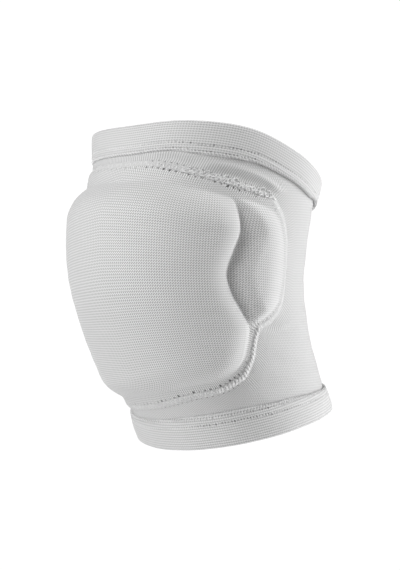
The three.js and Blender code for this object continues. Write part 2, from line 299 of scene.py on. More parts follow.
# The front panel is a close, slightly stretched jersey drawn over the foam. It dips into the
# grooves between the pads, and its edge is pulled into small ribs where it is sewn down.
PANEL_THICKNESS = 1.2
SEAM_GAP = 0.7
SEAM_WIDTH = 4.0
STITCH = 3.4
RIB_PITCH = 1.25
PANEL_TUCK = 1.5
PANEL_WHITE = (0.98, 0.98, 0.98)
LIGHT_PULL = 4
STRONG_PULL = 20
NOTCH_RIDGE = 1.7
NOTCH_ANGLE = 73
NOTCH_HEIGHT = -18.0
NOTCH_WIDTH = 3.4
FAINT_ROWS = 0.18


def ease(value, low, high):
    """0 up to low, 1 from high, smooth between."""
    t = np.clip((value - low) / (high - low), 0, 1)
    return t * t * (3 - 2 * t)


def unevenness(angle, height, seed, coarseness=22.0):
    """Slow, irregular waves of about -1 to 1, the same on each run."""
    rng = np.random.default_rng(seed)
    total = np.zeros(np.broadcast(angle, height).shape)
    for _ in range(7):
        turns = rng.integers(-14, 15)
        rise = rng.normal(0, 2 * np.pi / coarseness)
        shift = rng.uniform(0, 2 * np.pi)
        total += np.sin(np.radians(angle) * turns + height * rise + shift)
    return total / 3.5


def even_steps(loop, step):
    """A closed line through the points of loop, with its points that far apart."""
    closed = np.vstack([loop, loop[:1]])
    run = np.concatenate([[0], np.cumsum(np.linalg.norm(np.diff(closed, axis=0), axis=1))])
    at = np.linspace(0, run[-1], int(round(run[-1] / step)) + 1)[:-1]
    return np.stack([np.interp(at, run, closed[:, k]) for k in (0, 1)], axis=1)


def seam_line():
    """The seam's middle on the unrolled leg, about a millimetre a step, round the panel from its
    far upper corner down."""
    steps = np.linspace(0, 1, 240)[:-1]
    across = np.concatenate([-1 + 0 * steps, -1 + 2 * steps, 1 + 0 * steps, 1 - 2 * steps])
    up = np.concatenate([1 - steps, 0 * steps, steps, 1 + 0 * steps])
    angle = across * curve_through(side_rows, edge_angles, up)
    height, _ = panel_height(angle, up)
    edge = even_steps(np.stack([angle * MM_PER_DEGREE, height], axis=1), 1.0)
    for _ in range(3):
        edge = (np.roll(edge, 1, axis=0) + 2 * edge + np.roll(edge, -1, axis=0)) / 4
    along = np.roll(edge, -1, axis=0) - np.roll(edge, 1, axis=0)
    along /= np.linalg.norm(along, axis=1, keepdims=True)
    outwards = np.stack([along[:, 1], -along[:, 0]], axis=1)
    return even_steps(edge + outwards * (SEAM_GAP + SEAM_WIDTH / 2), 1.0)


seam_path = seam_line()
seam_ahead = np.roll(seam_path, -1, axis=0) - seam_path
seam_step = np.linalg.norm(seam_ahead, axis=1).mean()
seam_length = len(seam_path) * seam_step
seam_stitches = int(round(seam_length / STITCH))
stitch_pitch = seam_length / seam_stitches
seam_ribs = int(round(seam_length / RIB_PITCH))
seam_turns = {"seam": seam_stitches, "ribs": seam_ribs}


def seam_map(angle, height):
    """How far along the seam each spot lies, and how far outside its middle line."""
    spots = np.stack([np.ravel(angle) * MM_PER_DEGREE, np.ravel(height)], axis=1)
    best = np.full(len(spots), 1e9)
    run = np.zeros(len(spots))
    side = np.zeros(len(spots))
    for i, (start, ahead) in enumerate(zip(seam_path, seam_ahead)):
        offset = spots - start
        t = np.clip(offset @ ahead / (ahead @ ahead), 0, 1)
        gap = offset - t[:, None] * ahead
        distance = np.hypot(gap[:, 0], gap[:, 1])
        nearer = distance < best
        best[nearer] = distance[nearer]
        run[nearer] = (i + t[nearer]) * seam_step
        turn = ahead[1] * offset[:, 0] - ahead[0] * offset[:, 1]
        side[nearer] = np.sign(turn[nearer])
    return run.reshape(np.shape(angle)), (best * side).reshape(np.shape(angle))


def run_at(angle, height):
    """How far along the seam the spot nearest to one place of the leg is."""
    return float(seam_map(np.array([angle]), np.array([height]))[0][0])


def along_seam(run, marks):
    """A value that changes smoothly along the seam, from marks of (angle, height, value)."""
    runs = [run_at(angle, height) for angle, height, _ in marks]
    return np.interp(run, runs, [value for _, _, value in marks], period=seam_length)


# Each mark is an angle, a height and how plainly the needle holes show there.
hole_marks = [(-60, 50, 0.25), (-10, 65, 0.1), (12, 66, 0.15), (22, 66, 0.8), (60, 60, 0.8), (78, 51, 0.3)]
hole_marks += [(92, 40, 0.02), (99, 0, 0), (84, -19, 0.15), (71, -33, 0.1), (62, -48, 0.15), (54, -54, 0.7)]
hole_marks += [(20, -63, 0.85), (0, -67, 0.2), (-15, -68, 0.2), (-60, -60, 0.25)]


def chart_axes(nodes, links, chart):
    """The two coordinates of one of a piece's charts."""
    chart_node = nodes.new("ShaderNodeUVMap")
    chart_node.uv_map = chart
    split = nodes.new("ShaderNodeSeparateXYZ")
    links.new(chart_node.outputs["UV"], split.inputs["Vector"])
    return split.outputs["X"], split.outputs["Y"]


def share_of(nodes, layer):
    attribute = nodes.new("ShaderNodeAttribute")
    attribute.attribute_name = layer
    return attribute.outputs["Fac"]


def wave(nodes, links, turns, rise=0.5):
    """0 to 1 and back once a turn, highest at whole turns, or lowest there with rise -0.5."""
    angle = maths(nodes, links, "MULTIPLY", turns, 2 * np.pi)
    cosine = maths(nodes, links, "COSINE", angle)
    return maths(nodes, links, "MULTIPLY_ADD", cosine, rise, 0.5)


def loops_of(rows, columns, rising, falling, rise=0.5):
    """A knit of loops in rows and columns, some of it drawn together along the two diagonals.
    The four numbers are the shares of each in its relief. The one that rises to the right lies
    half a loop aside, which keeps pits as plain as loops."""

    def loops(nodes, links):
        wale, course = chart_axes(nodes, links, "knit")
        up_right = maths(nodes, links, "SUBTRACT", wale, course)
        down_right = maths(nodes, links, "ADD", wale, course)
        total = 0.0
        for turns, share in ((course, rows), (wale, columns), (down_right, falling)):
            total = maths(nodes, links, "MULTIPLY_ADD", wave(nodes, links, turns, rise), share, total)
        return maths(nodes, links, "MULTIPLY_ADD", wave(nodes, links, up_right, -rise), rising, total)

    return loops


def spots(nodes, links, turns, pitch, off_row, size):
    """1 at each whole turn where off_row is 0, falling to 0 about size millimetres away."""
    lag = maths(nodes, links, "PINGPONG", turns, 0.5)
    sideways = maths(nodes, links, "MULTIPLY", lag, pitch)
    square = maths(nodes, links, "MULTIPLY", sideways, sideways)
    square = maths(nodes, links, "MULTIPLY_ADD", off_row, off_row, square)
    fade = nodes.new("ShaderNodeMapRange")
    fade.interpolation_type = "SMOOTHSTEP"
    fade.inputs["From Min"].default_value = 0.2 * size**2
    fade.inputs["From Max"].default_value = size**2
    fade.inputs["To Min"].default_value = 1.0
    fade.inputs["To Max"].default_value = 0.0
    links.new(square, fade.inputs["Value"])
    return fade.outputs["Result"]


def pierced(nodes, links, loops, holes):
    """Loops with holes in them, as the relief that a white cloth takes."""
    level = maths(nodes, links, "MULTIPLY_ADD", loops, 1 - PIT_LEVEL, PIT_LEVEL)
    depth = maths(nodes, links, "MULTIPLY", holes, share_of(nodes, "hole_share"))
    return maths(nodes, links, "MAXIMUM", maths(nodes, links, "SUBTRACT", level, depth), 0.0)


def each_own(nodes, links, turns):
    """Another number from 0 to 1 for each whole turn."""
    noise = nodes.new("ShaderNodeTexWhiteNoise")
    noise.noise_dimensions = "1D"
    links.new(maths(nodes, links, "ROUND", turns), noise.inputs["W"])
    return noise.outputs["Value"]


def uneven_holes(nodes, links, turns, pitch, off_row, size):
    """A row of spots, some fainter and a little out of line."""
    own = each_own(nodes, links, turns)
    off_row = maths(nodes, links, "MULTIPLY_ADD", own, 0.5, off_row)
    hole_and_shade = spots(nodes, links, turns, pitch, off_row, size)
    return maths(nodes, links, "MULTIPLY", hole_and_shade, maths(nodes, links, "MULTIPLY_ADD", own, 0.8, 0.2))


def calmed(nodes, links, loops, rise):
    """Loops that give way to faint rows, by the piece's calm share. It also takes the painted shade
    out of their pits, mostly where the lights fall full on the knit."""
    _, course = chart_axes(nodes, links, "knit")
    rows = wave(nodes, links, course, rise)
    blend = nodes.new("ShaderNodeMix")
    links.new(share_of(nodes, "calm_share"), blend.inputs["Factor"])
    links.new(loops, blend.inputs["A"])
    faint = maths(nodes, links, "MULTIPLY_ADD", rows, FAINT_ROWS, (1 - FAINT_ROWS) / 2)
    links.new(faint, blend.inputs["B"])
    return blend.outputs["Result"]


def needle_holes(nodes, links):
    """Two rows of holes beside the seam, where its thread goes down."""
    stitch, beside = chart_axes(nodes, links, "seam")
    rows = []
    for row, shift, size in ((-2.0, 0.0, 0.8), (1.9, 0.5, 0.65)):
        turns = maths(nodes, links, "ADD", stitch, shift)
        off_row = maths(nodes, links, "SUBTRACT", beside, row)
        off_row = maths(nodes, links, "MULTIPLY", off_row, 0.75)
        rows.append(uneven_holes(nodes, links, turns, stitch_pitch, off_row, size))
    return maths(nodes, links, "MAXIMUM", *rows)


def pulled(loops):
    """Loops that turn into ribs beside the seam, with its needle holes."""

    def pattern(nodes, links):
        phase, _ = chart_axes(nodes, links, "ribs")
        blend = nodes.new("ShaderNodeMix")
        links.new(share_of(nodes, "rib_share"), blend.inputs["Factor"])
        links.new(loops(nodes, links), blend.inputs["A"])
        links.new(wave(nodes, links, phase), blend.inputs["B"])
        relief = calmed(nodes, links, blend.outputs["Result"], 0.5)
        return pierced(nodes, links, relief, needle_holes(nodes, links))

    return pattern


def seam_charts(run, beside, lean):
    """Charts in stitches and in ribs along the seam. The ribs lean by a share of their length."""
    ribs = run / seam_length * seam_ribs + lean * beside / RIB_PITCH
    turns = {"seam": run / stitch_pitch, "ribs": ribs}
    return {layer: np.stack([count, beside], axis=-1) for layer, count in turns.items()}


# Loops a degree round the leg, and rows a millimetre up it, by the angle from the front.
stretch_angles = np.array([0, 27, 48, 79, 100])
wales_from_front = np.array([0, 23.5, 42.4, 68.4, 84.0])
rows_per_mm = np.array([0.692, 0.739, 0.776, 0.737, 0.73])


def panel_loops(angle, height):
    """The chart of the panel's knit: its rows arch over the knee and spread at the front."""
    off_front = np.abs(angle)
    wale = np.sign(angle) * curve_through(stretch_angles, wales_from_front, off_front)
    rows = curve_through(stretch_angles, rows_per_mm, off_front)
    arch = np.where(angle > -10, -0.0012 * (angle - 27) ** 2, -1.643 + 0.089 * (angle + 10))
    low = np.minimum(height + 3, 0)
    return np.stack([wale, rows * (height + 3 - arch) - 0.00097 * low**2], axis=-1)


panel_pattern = pulled(loops_of(0.22, 0.19, 0.36, 0.23))
panel_knit = white_cloth("panel_knit", PANEL_WHITE, 0.15, 0.12, 0.4, panel_pattern)


def panel_lattice():
    """Angles and ups of the panel's points, closest together at the groove and the edges. It
    reaches a little past its own edge, under the seam."""
    foot = np.linspace(-0.012, 0.1, 24)[:-1]
    middle = np.linspace(0.1, 0.88, 98)[:-1]
    head = np.linspace(0.88, 1.012, 26)
    up = np.concatenate([foot, middle, head])
    knee_parts = [np.linspace(0, 0.8, 40)[:-1], np.linspace(0.8, 0.96, 18)[:-1], np.linspace(0.96, 1, 9)]
    knee = np.concatenate(knee_parts)
    gap = np.linspace(0, 1, 6)[1:-1]
    wing = np.linspace(0, 1, 32)
    margin = np.linspace(0, 1, 9)[1:]
    groove = curve_through(side_rows, groove_angles, up)[:, None]
    edge = curve_through(side_rows, edge_angles, up)[:, None]
    start = groove + GROOVE_WIDTH / MM_PER_DEGREE
    stop = edge - SIDE_MARGIN / MM_PER_DEGREE
    tucked = edge + PANEL_TUCK / MM_PER_DEGREE
    over_gap = groove + (start - groove) * gap
    over_wing = start + (stop - start) * wing
    over_margin = stop + (tucked - stop) * margin
    half = np.concatenate([groove * knee, over_gap, over_wing, over_margin], axis=1)
    angle = np.concatenate([-half[:, :0:-1], half], axis=1)
    return angle, np.broadcast_to(up[:, None], angle.shape)


def draw_tight(relief, rounds):
    """A cloth over a hard form: it can't sink below the form, and its pull lifts it off hollows."""
    cloth = relief.copy()
    for _ in range(rounds):
        pulled_in = cloth.copy()
        across = cloth[1:-1, :-2] + cloth[1:-1, 2:]
        upward = cloth[:-2, 1:-1] + cloth[2:, 1:-1]
        pulled_in[1:-1, 1:-1] = (across + upward) / 4
        cloth = np.maximum(relief, pulled_in)
    return cloth


def make_panel():
    angle, up = panel_lattice()
    height, _ = panel_height(angle, up)
    foam = np.maximum(*foam_heights(angle, np.clip(up, 0, 1)))
    form = foam + CLEARANCE * ease(foam, 0, 1)
    relief = draw_tight(form, LIGHT_PULL)
    low_side = ease(np.abs(angle), 30, 50) * (1 - ease(height, -34, -26))
    drawn = np.maximum(ease(np.abs(angle), 78, 88), low_side)
    relief = relief + (draw_tight(form, STRONG_PULL) - relief) * drawn
    from_notch = np.hypot(np.abs(angle) - NOTCH_ANGLE, (height - NOTCH_HEIGHT) * 1.5)
    relief = relief + NOTCH_RIDGE * hump(from_notch, NOTCH_WIDTH)
    relief = relief + 0.16 * unevenness(angle, height, seed=3) * ease(relief, 0, 3)
    run, beside = seam_map(angle, height)
    open_holes = along_seam(run, hole_marks)
    furrows = 0.1 * open_holes * np.cos(2 * np.pi * run / stitch_pitch) * ease(beside, -9, -3)
    thinning = ease(-beside, 1.0 + 0.8 * open_holes, 1.9 + 0.8 * open_holes)
    thickness = PANEL_THICKNESS * (0.42 + 0.58 * thinning) + furrows * ease(-beside, 2.2, 3.2)
    front = over_leg(angle, height, PANEL_FLOOR + relief + thickness)
    back = over_leg(angle, height, PANEL_FLOOR + relief)
    faces, mapped = lattice_faces(*angle.shape, wrap=False)
    faces, mapped = add_back(faces, mapped, angle.size)
    points = np.concatenate([front.reshape(-1, 3), back.reshape(-1, 3)])
    charts = {"knit": panel_loops(angle, height), **seam_charts(run, beside, 0)}
    to_groove = (curve_through(side_rows, groove_angles, up) - np.abs(angle)) * MM_PER_DEGREE
    over_lip = ease(to_groove, 0, 2) * (1 - ease(to_groove, 6, 12))
    # The calm share flattens the loops and takes the painted shade out of their pits: over the lips by the
    # grooves, on the outer wings and at the front and left, where the lights fall full, and at the lower
    # right.
    calm_and_lit = np.maximum(0.75 * over_lip, 0.7 * ease(np.abs(angle), 74, 86))
    calm_and_lit = np.maximum(calm_and_lit, 0.55 * (1 - ease(angle, -20, 15)))
    calm_and_lit = np.maximum(calm_and_lit, 0.5 * ease(angle, 50, 62) * (1 - ease(height, -36, -24)))
    shares = {"rib_share": 0.4 * ease(beside, -9, -3), "hole_share": open_holes, "calm_share": calm_and_lit}
    shares = {layer: np.tile(share.ravel(), 2) for layer, share in shares.items()}
    panel = make_piece("knit_panel", points, faces, panel_knit, charts, mapped, shares, seam_turns)
    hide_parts("front_panel")


make_panel()

# The seam is an overlock stitch that joins the panel to the sleeve: a flat band of thread, with a
# row of needle holes on each side and slanting threads between them. It is drawn up into a rope
# at the lower corner and into loose loops at the upper one.
BAND_START = -2.15
BAND_STOP = 1.7
THREAD_START = -2.3
THREAD_REACH = 4.0
STITCH_RADIUS = 0.32
ROPE_PITCH = 2.4
ROPE_RADIUS = 0.55
LOOP_PITCH = 1.05
LOOP_RADIUS = 0.3


def band_top(beside):
    """How far the seam's upper face is from the leg, from the panel's edge down to the sleeve."""
    down = (PANEL_THICKNESS + CLEARANCE - 0.06) * ease(beside, -2.0, 2.0)
    return PANEL_FLOOR + PANEL_THICKNESS - down - 0.5 * (1 - ease(beside, BAND_START, -1.6))


def on_seam(run, beside, out):
    """A point along the seam, beside its middle line and out from the leg."""
    at = np.asarray(run) / seam_step
    low = np.floor(at).astype(int)
    part = (at - low)[..., None]
    here, there = low % len(seam_path), (low + 1) % len(seam_path)
    spot = seam_path[here] * (1 - part) + seam_path[there] * part
    ahead = seam_ahead[here] * (1 - part) + seam_ahead[there] * part
    ahead = ahead / np.linalg.norm(ahead, axis=-1, keepdims=True)
    x = spot[..., 0] + ahead[..., 1] * beside
    height = spot[..., 1] - ahead[..., 0] * beside
    return over_leg(x / MM_PER_DEGREE, height, out)


def band_threads(nodes, links):
    """Fine threads laid slantwise, side by side."""
    stitch, beside = chart_axes(nodes, links, "seam")
    threads = maths(nodes, links, "MULTIPLY", stitch, 4.0)
    threads = maths(nodes, links, "MULTIPLY_ADD", beside, 0.4, threads)
    return pierced(nodes, links, wave(nodes, links, threads), needle_holes(nodes, links))


seam_thread = white_cloth("seam_thread", (0.7, 0.7, 0.7), 0.65, 0.12, 0.4, band_threads)


def make_band():
    run = np.linspace(0, seam_length, seam_stitches * 6 + 1)[:-1]
    across = np.linspace(BAND_START, BAND_STOP, 12)[:, None]
    swell = 0.08 * np.cos(2 * np.pi * run / stitch_pitch) * (1 - (across / BAND_START) ** 2)
    swell = swell * along_seam(run, hole_marks)
    top = band_top(across) + swell
    inwards = np.minimum(across - BAND_START, BAND_STOP - across)
    under = np.maximum(top - 0.1 - 0.65 * ease(inwards, 0, 1), KNIT_THICKNESS + 0.03)
    out = np.concatenate([top, under[::-1]])
    beside = np.concatenate([across, across[::-1]])
    rows, columns = out.shape
    points = on_seam(np.broadcast_to(run, out.shape), beside, out)
    faces, mapped = lattice_faces(rows + 1, columns, wrap=True)
    stitch = np.arange(columns + 1) / 6
    chart = np.stack(np.broadcast_arrays(stitch, np.append(beside, beside[:1], axis=0)), axis=-1)
    holes = np.broadcast_to(along_seam(run, hole_marks), out.shape)
    band = make_piece(
        "seam_band",
        points,
        faces[:, ::-1] % (rows * columns),
        seam_thread,
        {"seam": chart},
        mapped[:, ::-1],
        {"hole_share": holes},
    )
    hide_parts("panel_seam")


make_band()


def thread_tubes(name, paths, radius, material, sides=6):
    """Sewing threads as thin closed tubes along paths, each an array of points."""
    turn = np.linspace(0, 2 * np.pi, sides, endpoint=False)
    points, faces, count = [], [], 0
    for path in paths:
        ahead = np.gradient(path, axis=0)
        ahead /= np.linalg.norm(ahead, axis=-1, keepdims=True)
        across = np.cross(ahead, (0.31, 0.17, 0.93))
        across /= np.linalg.norm(across, axis=-1, keepdims=True)
        other = np.cross(ahead, across)
        spoke = np.cos(turn)[:, None] * across[:, None] + np.sin(turn)[:, None] * other[:, None]
        taper = np.ones(len(path))
        taper[[0, -1]] = 0.35
        points.append((path[:, None] + spoke * (radius * taper)[:, None, None]).reshape(-1, 3))
        index = count + np.arange(len(path) * sides).reshape(len(path), sides)
        beside = np.roll(index, -1, axis=1)
        sheath = np.stack([index[:-1], index[1:], beside[1:], beside[:-1]], axis=-1).reshape(-1, 4)
        faces += sheath.tolist() + [index[0].tolist(), index[-1, ::-1].tolist()]
        count += index.size
    mesh = bpy.data.meshes.new(name)
    mesh.from_pydata((np.concatenate(points) * MM).tolist(), [], faces)
    mesh.polygons.foreach_set("use_smooth", [True] * len(mesh.polygons))
    mesh.materials.append(material)
    piece = bpy.data.objects.new(name, mesh)
    bpy.context.collection.objects.link(piece)
    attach(piece, "root")
    return piece


def thread_ply(nodes, links):
    """The fine twist of a sewing thread."""
    noise = nodes.new("ShaderNodeTexNoise")
    noise.inputs["Scale"].default_value = 1500
    place = nodes.new("ShaderNodeTexCoord")
    links.new(place.outputs["Object"], noise.inputs["Vector"])
    return maths(nodes, links, "MULTIPLY_ADD", noise.outputs["Fac"], 0.7, PIT_LEVEL)


sewing_thread = white_cloth("sewing_thread", (0.84, 0.84, 0.84), 0.75, 0.12, 0.3, thread_ply)


def make_seam_stitches():
    """The slanting threads that cross the band from hole to hole."""
    rng = np.random.default_rng(11)
    t = np.linspace(0, 1, 7)
    sunk = 0.6 - 0.4 * along_seam(np.arange(2 * seam_stitches) * stitch_pitch / 2, hole_marks)
    paths = []
    for k in range(2 * seam_stitches):
        run = (k / 2 + 0.5 * t + rng.normal(0, 0.03)) * stitch_pitch
        beside = THREAD_START + THREAD_REACH * t if k % 2 == 0 else BAND_STOP - THREAD_REACH * t
        out = band_top(beside) - sunk[k] + (0.32 + rng.normal(0, 0.06)) * np.sin(np.pi * t) ** 0.6
        paths.append(on_seam(run, beside, out))
    return thread_tubes("seam_stitches", paths, STITCH_RADIUS, sewing_thread)


def make_seam_rope():
    """Thick slanting twists of thread that cover the seam at its lower corner."""
    rng = np.random.default_rng(6)
    start, stop = run_at(44, -57.5), run_at(77, -23)
    t = np.linspace(0, 1, 9)
    paths = []
    for middle in np.arange(start, stop, ROPE_PITCH):
        fade = float(ease(middle, start, start + 9))
        run = middle + 1.15 * (2 * t - 1) + rng.normal(0, 0.15)
        beside = -0.5 + (1.2 + rng.normal(0, 0.15)) * (1 - 2 * t)
        out = band_top(beside) - 0.5 + (0.5 + 0.5 * fade) * np.sin(np.pi * t) ** 0.5
        paths.append(on_seam(run, beside, out))
    return thread_tubes("seam_rope", paths, ROPE_RADIUS, sewing_thread, sides=8)


def make_seam_loops():
    """Loose, crowded loops of thread at the seam's upper corner."""
    rng = np.random.default_rng(4)
    start, stop = run_at(86, 51), run_at(36, 64)
    t = np.linspace(0, 1, 14)
    paths = []
    for middle in np.arange(start, stop, LOOP_PITCH):
        size = rng.uniform(0.7, 1.35)
        begin = rng.uniform(0, 2 * np.pi)
        sweep = begin + rng.choice((-1, 1)) * rng.uniform(3.2, 5.6) * t
        run = middle + rng.normal(0, 0.3) + size * np.cos(sweep) + rng.normal(0, 0.6) * t
        beside = rng.uniform(-1.9, 1.9) + size * 0.9 * np.sin(sweep)
        out = band_top(beside) + 0.1 + 0.35 * np.sin(np.pi * t) ** 0.7
        paths.append(on_seam(run, beside, out))
    return thread_tubes("seam_loops", paths, LOOP_RADIUS, sewing_thread)


make_seam_stitches()
make_seam_rope()
make_seam_loops()

# The sleeve is one tube of stretch jersey, 1.5 mm thick. It ends inside the folds of its cuffs,
# and where nothing covers it, it shows the soft folds that its pull over the seam leaves.
CUFF_HEIGHT = 17.0
CUFF_THICKNESS = 1.6
WALES_ROUND = 268
SLEEVE_COURSE = 1.45
SLEEVE_WHITE = (0.73, 0.73, 0.73)
HEM_LIFT = 0.32
ROUND_STEPS = 300
rim_angles = np.array([-180, -150, -120, -90, -60, -30, 0, 30, 60, 90, 120, 150, 180])
upper_rim = SLEEVE_HEIGHT * np.array(
    [0.287, 0.3, 0.34, 0.4, 0.45, 0.47, 0.4795, 0.49, 0.47, 0.408, 0.344, 0.302, 0.287]
)
lower_rim = SLEEVE_HEIGHT * np.array(
    [-0.381, -0.386, -0.403, -0.432, -0.465, -0.492, -0.503, -0.492, -0.465, -0.432, -0.403, -0.386, -0.381]
)
hem_angles = np.array([-180, -125, -90, -50, -12, 5, 22, 32, 42, 52, 62, 72, 88, 100, 114, 128, 180])
upper_hem = CUFF_HEIGHT * np.array(
    [0.8, 0.88, 0.94, 0.98, 0.99, 1, 0.99, 1.03, 1.09, 1.09, 1.04, 0.97, 0.92, 0.89, 0.88, 0.78, 0.8]
)
lower_hem = CUFF_HEIGHT * np.array(
    [0.8, 0.86, 0.92, 0.96, 1, 1.06, 1.12, 1.13, 1.13, 1.12, 1.09, 1.05, 1, 0.93, 0.87, 0.82, 0.8]
)


def rim_height(angle, rim):
    return curve_through(rim_angles, rim, angle)


def fold(angle, height, course, width, ends):
    """A ridge along a course of (angle, height) points, fading at its two ends."""
    course = np.array(course, float)
    line = np.interp(angle, course[:, 0], course[:, 1])
    fade = ease(angle, course[0, 0] - ends, course[0, 0] + ends)
    fade = fade * (1 - ease(angle, course[-1, 0] - ends, course[-1, 0] + ends))
    return fade * hump(height - line, width)


tuck_ridge = [(44, 66.3), (56, 65), (62, 63.5), (70, 61), (77, 58), (88, 52.5)]
tuck_valley = [(46, 62.6), (55, 61.7), (61, 60.2), (68, 57.2), (76, 54.3), (86, 50.4)]
hem_dip = [(18, 70), (27, 69.5), (34, 67.5), (42, 66.0)]
knee_crease = [(84, -25.5), (93, -25.7), (106, -24)]
knee_crease_lip = [(84, -22.6), (93, -22.8), (106, -21)]


def sleeve_relief(angle, height):
    """How far the sleeve stands off its smooth shape."""
    relief = 0.2 * unevenness(angle, height, seed=5)
    relief = relief + 1.6 * fold(angle, height, tuck_ridge, 1.5, 8)
    relief = relief - 0.7 * fold(angle, height, tuck_valley, 0.8, 8)
    relief = relief - 1.1 * fold(angle, height, hem_dip, 2.0, 6)
    relief = relief - 0.5 * fold(angle, height, knee_crease, 1.3, 6)
    relief = relief + 0.35 * fold(angle, height, knee_crease_lip, 1.5, 6)
    return relief


# How far the ribs beside the seam lean, as a share of their length, by angle and height.
rib_marks = [(-60, 50, 0), (0, 66, 0), (60, 62, 0), (95, 20, 0), (78, -24, 0.3), (66, -46, 0.45)]
rib_marks += [(58, -54, 0), (45, -58, -0.9), (30, -61, -0.8), (0, -67, -0.3), (-30, -68, 0), (-60, -60, 0)]

sleeve_pattern = pulled(loops_of(0.18, 0.26, 0.24, 0.32))
sleeve_knit = white_cloth("sleeve_knit", SLEEVE_WHITE, 0.48, 0.12, 0.5, sleeve_pattern)


def make_sleeve():
    angle = np.linspace(-180, 180, ROUND_STEPS + 1)
    hem = CUFF_THICKNESS + CLEARANCE
    share = np.linspace(0, 1, 140)[:, None]
    low = rim_height(angle, lower_rim) + hem
    high = rim_height(angle, upper_rim) - hem
    height = low + (high - low) * share
    angle = np.broadcast_to(angle, height.shape)
    open_top = rim_height(angle, upper_rim) - height - curve_through(hem_angles, upper_hem, angle)
    open_low = height - rim_height(angle, lower_rim) - curve_through(hem_angles, lower_hem, angle)
    run, beside = seam_map(angle, height)
    bare = ease(np.minimum(open_top, open_low), 0, 3) * ease(beside, SEAM_WIDTH * 0.4, SEAM_WIDTH * 0.9)
    at_hem = (hump(open_top - 0.8, 2.4) + hump(open_low - 0.8, 2.4)) * (1 - ease(angle, 55, 80))
    clear = ease(beside, SEAM_WIDTH * 0.5, SEAM_WIDTH * 0.9)
    out = KNIT_THICKNESS + bare * sleeve_relief(angle, height) + HEM_LIFT * at_hem * clear
    front = over_leg(angle, height, out)[:, :-1]
    back = over_leg(angle, height, out - KNIT_THICKNESS)[:, :-1]
    rows, columns = front.shape[:2]
    faces, mapped = lattice_faces(rows, columns, wrap=True)
    faces, mapped = add_back(faces, mapped, rows * columns)
    points = np.concatenate([front.reshape(-1, 3), back.reshape(-1, 3)])
    knit = np.stack([angle / 360 * WALES_ROUND, height / SLEEVE_COURSE], axis=-1)
    charts = {"knit": knit, **seam_charts(run, beside, along_seam(run, rib_marks))}
    # The calm share flattens the loops and takes the painted shade out of their pits on the right side,
    # where the right light falls full.
    shares = {
        "rib_share": 0.75 * (1 - ease(beside, 5, 13)),
        "hole_share": along_seam(run, hole_marks),
        "calm_share": 0.65 * ease(angle, 80, 100) * ease(height, -25, 0),
    }
    shares = {layer: np.tile(share[:, :-1].ravel(), 2) for layer, share in shares.items()}
    sleeve = make_piece("knit_sleeve", points, faces, sleeve_knit, charts, mapped, shares, seam_turns)
    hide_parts("sleeve")
    return sleeve


sleeve = make_sleeve()

# Each cuff is the end of the sleeve's knit, folded over and stitched down with two rows of
# cover stitch. Its fold is the rim. Its free edge is a small step, pressed flat at the front.
HEM_INSIDE = KNIT_THICKNESS + CLEARANCE
HEM_OUTSIDE = HEM_INSIDE + CUFF_THICKNESS
ROW_A = 12.6
ROW_B = 16.1
HEM_STITCHES = 196
HEM_PITCH = 360 / HEM_STITCHES
CUFF_WHITE = (0.81, 0.81, 0.81)
HEM_PRESS = 0.62
HEM_THREAD_RADIUS = 0.24


def hem_loops(nodes, links):
    """Close rows of loops, with the sunk dashes of the two rows of stitches."""
    loops = loops_of(0.5, 0.25, 0.1, 0.15, rise=-0.5)(nodes, links)
    stitch, drop = chart_axes(nodes, links, "hem")
    rows = []
    for row, shift, size in ((ROW_A, 0.0, 0.7), (ROW_B - 0.3, 0.45, 0.6)):
        turns = maths(nodes, links, "ADD", stitch, shift)
        off_row = maths(nodes, links, "SUBTRACT", drop, row)
        rows.append(uneven_holes(nodes, links, turns, HEM_PITCH * MM_PER_DEGREE, off_row, size))
    loops = calmed(nodes, links, loops, -0.25)
    return pierced(nodes, links, loops, maths(nodes, links, "MAXIMUM", *rows))


cuff_knit = white_cloth("cuff_knit", CUFF_WHITE, 0.4, 0.12, 0.4, hem_loops)


def hem_profile():
    """The folded hem's section from its free edge over the rim to its inner end, as distances
    out from the leg and down from the rim."""
    drops = np.concatenate([[CUFF_HEIGHT], np.arange(CUFF_HEIGHT - 0.3, 1.6, -0.4)])
    out = HEM_OUTSIDE + 0.3 * hump(drops - 7, 5)
    out = out - 0.35 * hump(drops - ROW_A, 0.6) - 0.3 * hump(drops - ROW_B + 0.5, 0.5)
    out = out - 0.9 * ease(drops, CUFF_HEIGHT - 0.7, CUFF_HEIGHT)
    turn = np.linspace(0, np.pi, 11)
    middle = HEM_OUTSIDE / 2
    fold_out = middle + middle * np.cos(turn)
    fold_drop = 1.4 - 1.4 * np.sin(turn)
    inner_drops = np.array([CUFF_THICKNESS, CUFF_THICKNESS, CUFF_HEIGHT * 0.5, CUFF_HEIGHT])
    inner_out = np.array([0.05, HEM_INSIDE, HEM_INSIDE, HEM_INSIDE])
    return np.concatenate([out, fold_out, inner_out]), np.concatenate([drops, fold_drop, inner_drops])


def hem_place(angle, drop, rim, hem, down):
    """A spot of the hem: its height, and how far its outside stands off the plain profile."""
    wide = curve_through(hem_angles, hem, angle)
    drawn = np.where(drop > 3, 3 + (drop - 3) * (wide - 3) / (CUFF_HEIGHT - 3), drop)
    lean = 2.0 * hump(angle + 50, 28) * (1 - ease(drop, 0, 14)) * (down > 0)
    loose = ease(angle, 25, 75) * (0.7 + 0.3 * down)
    pressed = HEM_PRESS * (1 - loose) * ease(drop, 12.5, CUFF_HEIGHT)
    return rim_height(angle, rim) - down * drawn, lean - pressed


